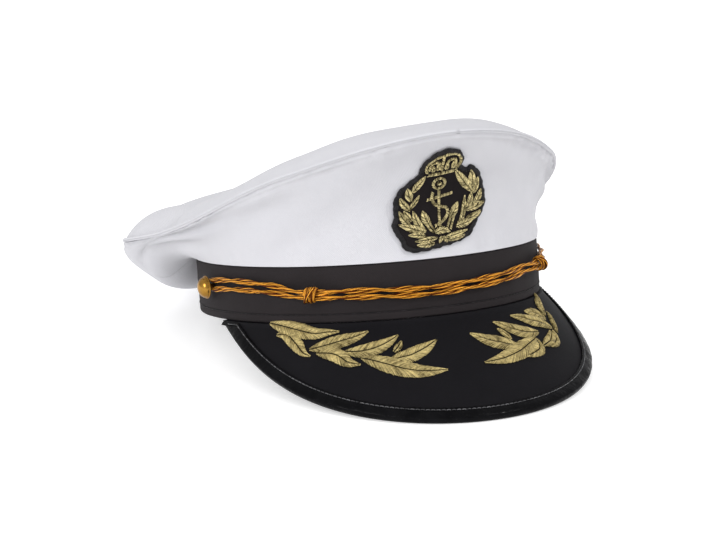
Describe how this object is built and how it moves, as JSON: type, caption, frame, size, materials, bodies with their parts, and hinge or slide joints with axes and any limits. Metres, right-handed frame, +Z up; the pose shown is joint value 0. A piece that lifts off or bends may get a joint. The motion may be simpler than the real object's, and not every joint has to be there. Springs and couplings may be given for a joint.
{
  "type": "sailor cap",
  "caption": "Peaked sailor cap: white cloth crown sweeping up at the front, black band, sloping black visor, gold chin cord with buttons, embroidered anchor badge and leaf sprigs.",
  "frame": {"origin": "the middle of the resting cap's outline seen from above, on the surface it stands on", "axes": "-Y is the front, where the visor points, +Y the back, +X the wearer's left and +Z up"},
  "size_m": [0.2284, 0.3056, 0.1331],
  "materials": {
    "crown_cloth": "fine matt weave",
    "band_cloth": "fine matt twill",
    "visor_cloth": "fine satin cloth",
    "visor_binding": "glossy patent",
    "button_brass": "polished",
    "gold_cord": "shiny metallic thread",
    "badge_cloth": "matt felt",
    "gold_thread": "satin stitched thread"
  },
  "bodies": {
    "root": {"head_band": "band_cloth", "crown_front_panel": "crown_cloth", "crown_back_panel": "crown_cloth", "crown_top": "crown_cloth", "crown_welt": "crown_cloth", "visor": "visor_cloth", "visor_binding": "visor_binding", "side_button_right": "button_brass", "side_button_left": "button_brass", "cord_strand_upper": "gold_cord", "cord_strand_lower": "gold_cord", "cord_knot_right": "gold_cord", "cord_knot_left": "gold_cord", "badge_backing": "badge_cloth", "badge_wreath_right": "gold_thread", "badge_wreath_left": "gold_thread", "badge_anchor": "gold_thread", "badge_crown": "gold_thread", "visor_sprig_right": "gold_thread", "visor_sprig_left": "gold_thread"}
  },
  "joints": []
}
